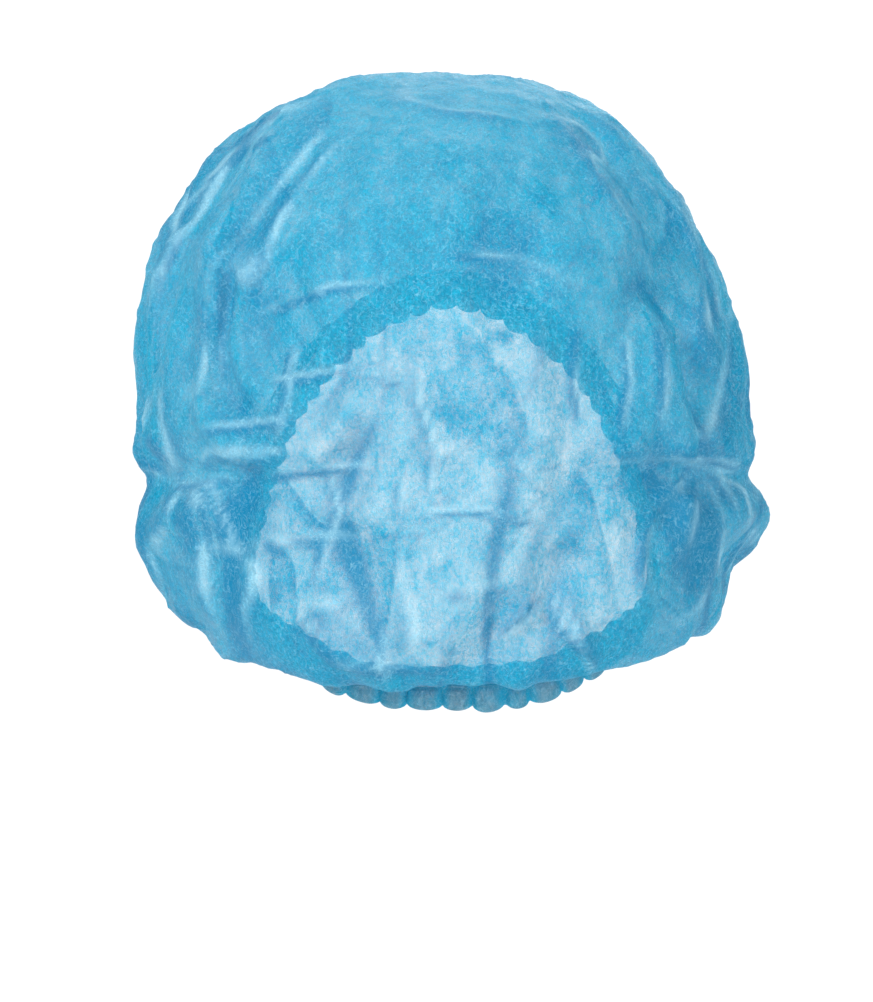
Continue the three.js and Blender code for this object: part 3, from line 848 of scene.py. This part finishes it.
def nonWoven(name, look):
    s = Shader(name)
    coords = s.add("ShaderNodeTexCoord")
    place = coords.outputs["Object"]
    fibres = s.noise(place, *grain["fibres"]).between(0.36, 0.64)
    lie = s.noise(s.stretched(place, (0.2, 0.5, 0.3), (1, 0.45, 0.35)), *grain["lie"]).between(0.4, 0.62)
    bend = s.noise(place, *grain["bend"])
    loop = s.noise(s.stretched(place, (0.9, 0.1, 0.6), (1, 1, 1)), *grain["loop"])
    lines = (1 - abs(bend - 0.5).between(0.0, 0.035)) + (1 - abs(loop - 0.52).between(0.0, 0.03))
    cloud = s.noise(place, *grain["cloud"]) - 0.5
    patch = s.noise(s.stretched(place, (0, 0, 0), (1, 1, 0.6)), *grain["patch"]) - 0.5
    # broad soft laps with one clear edge each, as where thin cloth lies in creased layers
    slow = s.noise(s.stretched(place, (0.1, 0.2, 0.4), (1, 1, 0.55)), *grain["slow"])
    lap = (slow * 7).math("FRACT")
    lapped = lap * lap * (1 - lap.between(0.93, 1.0)) * s.noise(place, *grain["clump"]).between(0.4, 0.66)
    # rows of pressed dots, every second row shifted by half a step
    flat = s.add("ShaderNodeSeparateXYZ", None, Vector=coords.outputs["UV"])
    across = Value(s.tree, flat.outputs["X"]) * (2 * math.pi / look["dotSpacing"])
    upwards = Value(s.tree, flat.outputs["Y"]) * (2 * math.pi / look["dotSpacing"])
    dots = (across.math("COSINE") * upwards.math("COSINE")).between(0.45, 0.85)
    fromTop = 1 - s.attribute("up").between(0.62, 0.8)
    bunchedAndPaintedLight = s.attribute("bunchAndPaintedLight")
    crestHighlight = s.attribute("crestHighlight")
    cover = (look["cover"] + look["fibre"] * (fibres - 0.5) + 0.6 * look["fibre"] * (lie - 0.5)
             + look["line"] * lines + look["cloud"] * cloud + look["cloud"] * 0.5 * patch
             + look["lap"] * lapped + look["dot"] * (dots * fromTop - 0.2))
    cover = cover + look["bunchAndPaintedLight"] * bunchedAndPaintedLight * (1 - cover)
    cover = cover.clamped(0.1, 0.98)
    # the tone also follows the bunch attribute: painted shade in the bag's creases, folds and gathers, and a
    # painted highlight on the gathered edge's ribs; the rest varies at random with clouds, fibres and laps
    tone = (look["tone"] - look["toneCloud"] * cloud + look["toneFibre"] * (fibres - 0.5)
            + look["toneLie"] * (lie - 0.5) - look["paintedCreaseLight"] * bunchedAndPaintedLight
            - look["toneLap"] * lapped).clamped()
    colour = s.add("ShaderNodeMix", {"data_type": "RGBA"}, Factor=tone)
    colour.inputs[6].default_value = look["cloudAndCreaseLight"]
    colour.inputs[7].default_value = look["colour"]
    # painted highlight: the colour is pulled to the pale colour along fibre lines, on the pressed dots and
    # along crease crests
    paintedHighlightShare = (lines * look["lineGlint"] + dots * fromTop * look["dotGlint"]
                 + crestHighlight * look["crestHighlightWeight"]).clamped()
    glint = s.add("ShaderNodeMix", {"data_type": "RGBA"}, Factor=paintedHighlightShare)
    s.tree.links.new(colour.outputs[2], glint.inputs[6])
    glint.inputs[7].default_value = look["pale"]
    relief = fibres * 0.5 + lines * 0.4 - dots * fromTop * 0.4
    bump = s.add("ShaderNodeBump", None, Strength=look["bumpStrength"], Distance=look["bumpDepth"],
                 Height=relief)
    surface = s.add("ShaderNodeBsdfPrincipled", None, Base_Color=glint.outputs[2],
                    Roughness=look["roughness"], Normal=bump.outputs["Normal"])
    surface.inputs["Specular IOR Level"].default_value = look["shine"]
    through = s.add("ShaderNodeBsdfTranslucent", None, Color=glint.outputs[2], Normal=bump.outputs["Normal"])
    cloth = s.add("ShaderNodeMixShader", None, Fac=look["glow"])
    s.tree.links.new(surface.outputs[0], cloth.inputs[1])
    s.tree.links.new(through.outputs[0], cloth.inputs[2])
    clear = s.add("ShaderNodeBsdfTransparent")
    thin = s.add("ShaderNodeMixShader", None, Fac=cover)
    s.tree.links.new(clear.outputs[0], thin.inputs[1])
    s.tree.links.new(cloth.outputs[0], thin.inputs[2])
    s.tree.links.new(thin.outputs[0], s.output.inputs["Surface"])
    return s.material


elasticLook = {
    "shade": (0.62, 0.66, 0.70, 1), "pale": (0.86, 0.88, 0.90, 1),
    "ribs": 700, "turns": 3, "grainScale": 300, "roughness": 0.65, "bumpStrength": 0.6, "bumpDepth": 0.0002,
}


def elasticFinish():
    s = Shader("coveredElastic")
    coords = s.add("ShaderNodeTexCoord")
    flat = s.add("ShaderNodeSeparateXYZ", None, Vector=coords.outputs["UV"])
    along = Value(s.tree, flat.outputs["X"]) * (2 * math.pi * elasticLook["ribs"])
    around = Value(s.tree, flat.outputs["Y"]) * (2 * math.pi * elasticLook["turns"])
    twist = (along + around).math("SINE") * 0.5 + 0.5
    back = (along - around).math("SINE") * 0.5 + 0.5
    braid = twist * back
    cloud = s.noise(coords.outputs["Object"], elasticLook["grainScale"], 2)
    colour = s.add("ShaderNodeMix", {"data_type": "RGBA"}, Factor=(0.6 * braid + 0.4 * cloud).clamped())
    colour.inputs[6].default_value = elasticLook["shade"]
    colour.inputs[7].default_value = elasticLook["pale"]
    bump = s.add("ShaderNodeBump", None, Strength=elasticLook["bumpStrength"],
                 Distance=elasticLook["bumpDepth"], Height=braid)
    surface = s.add("ShaderNodeBsdfPrincipled", None, Base_Color=colour.outputs[2],
                    Roughness=elasticLook["roughness"], Normal=bump.outputs["Normal"])
    s.tree.links.new(surface.outputs[0], s.output.inputs["Surface"])
    return s.material


crownCloth.data.materials.append(nonWoven("blueNonWoven", clothLook))
# The gathered edge takes a darker copy of the bag's colour; its low-tone colour is a bright cyan, reached at
# random in clouds and, as painted highlight, along its rib creases
edgeLook = dict(clothLook, cover=0.74, bunchAndPaintedLight=0.8, cloud=0.3, dot=0.05, lap=0.0,
                colour=(0.025, 0.29, 0.44, 1), cloudAndCreaseLight=(0.000, 0.45, 0.68, 1), glow=0.35)
ruffleEdge.data.materials.append(nonWoven("gatheredNonWoven", edgeLook))
elasticLoop.data.materials.append(elasticFinish())
print("finishes made")

# Studio: a pale floor that sweeps up behind, soft light from all round
studio = {
    "floor": -0.62, "reach": 4.5, "bend": 1.2, "back": 3.2, "wall": 4.5,
    "tone": 0.92, "roughness": 0.9, "grainScale": 40, "air": 0.38, "sensor": 36, "farthest": 50,
}

# name, place and aim in metres, size in metres, power in watts
lightTable = [
    ("keyLight", (-1.5, -2.2, 1.1), (0, 0, 0), 0.7, 68),
    ("fillLight", (1.9, -1.6, 0.5), (0, 0, 0), 1.4, 27),
    ("topLight", (0.0, 0.2, 2.2), (0, 0, 0), 1.2, 2),
    ("backLight", (0.5, 2.0, 1.1), (0, 0, 0), 1.2, 7),
    ("wallLight", (0.0, 0.9, 2.3), (0, 3.2, 0.2), 1.5, 40),
]


def makeFloor():
    bpy.ops.object.select_all(action="DESELECT")
    bpy.ops.mesh.primitive_plane_add(size=1, location=(0, 0, 0))
    floor = bpy.context.object
    floor.name = "studioFloor"
    reach, bend, back = studio["reach"], studio["bend"], studio["back"]
    profile = [(-reach, studio["floor"]), (back - bend, studio["floor"])]
    profile += [(back - bend + bend * math.sin(a), studio["floor"] + bend - bend * math.cos(a))
                for a in np.linspace(0.08, math.pi / 2, 20)]
    profile += [(back, studio["floor"] + studio["wall"])]
    verts = [(side * reach, y, z) for side in (-1, 1) for y, z in profile]
    n = len(profile)
    faces = [(k, k + n, k + n + 1, k + 1) for k in range(n - 1)]
    mesh = bpy.data.meshes.new("studioFloor")
    mesh.from_pydata(verts, [], faces)
    mesh.shade_smooth()
    old = floor.data
    floor.data = mesh
    bpy.data.meshes.remove(old)
    s = Shader("paleFloor")
    coords = s.add("ShaderNodeTexCoord")
    speckle = s.noise(coords.outputs["Object"], studio["grainScale"], 3)
    bump = s.add("ShaderNodeBump", None, Strength=0.05, Distance=0.001, Height=speckle)
    tone = studio["tone"]
    surface = s.add("ShaderNodeBsdfPrincipled", None, Roughness=studio["roughness"],
                    Normal=bump.outputs["Normal"])
    surface.inputs["Base Color"].default_value = (tone, tone, tone, 1)
    s.tree.links.new(surface.outputs[0], s.output.inputs["Surface"])
    mesh.materials.append(s.material)


def addLight(name, place, aim, size, power):
    bpy.ops.object.light_add(type="AREA", location=place)
    lamp = bpy.context.object
    lamp.name = name
    lamp.data.shape = "DISK"
    lamp.data.size = size
    lamp.data.energy = power
    heading = np.array(aim) - np.array(place)
    lamp.rotation_euler = (math.atan2(math.hypot(heading[0], heading[1]), -heading[2]), 0,
                           math.atan2(heading[1], heading[0]) - math.pi / 2)


makeFloor()
for row in lightTable:
    addLight(*row)
world = bpy.data.worlds.new("studioAir")
scene.world = world
world.use_nodes = True
air = world.node_tree.nodes["Background"]
air.inputs["Color"].default_value = (1, 1, 1, 1)
air.inputs["Strength"].default_value = studio["air"]
scene.view_settings.view_transform = "Standard"
scene.cycles.transparent_max_bounces = 32

bpy.ops.object.camera_add(location=(view["x"] * 0.001, -view["distance"] * 0.001, view["z"] * 0.001),
                          rotation=(math.pi / 2, 0, 0))
camera = bpy.context.object
camera.name = "pictureCamera"
camera.data.sensor_fit = "VERTICAL"
camera.data.sensor_height = studio["sensor"]
camera.data.lens = studio["sensor"] * view["distance"] / (view["scale"] * view["height"])
camera.data.clip_end = studio["farthest"]
scene.camera = camera
print("studio made")
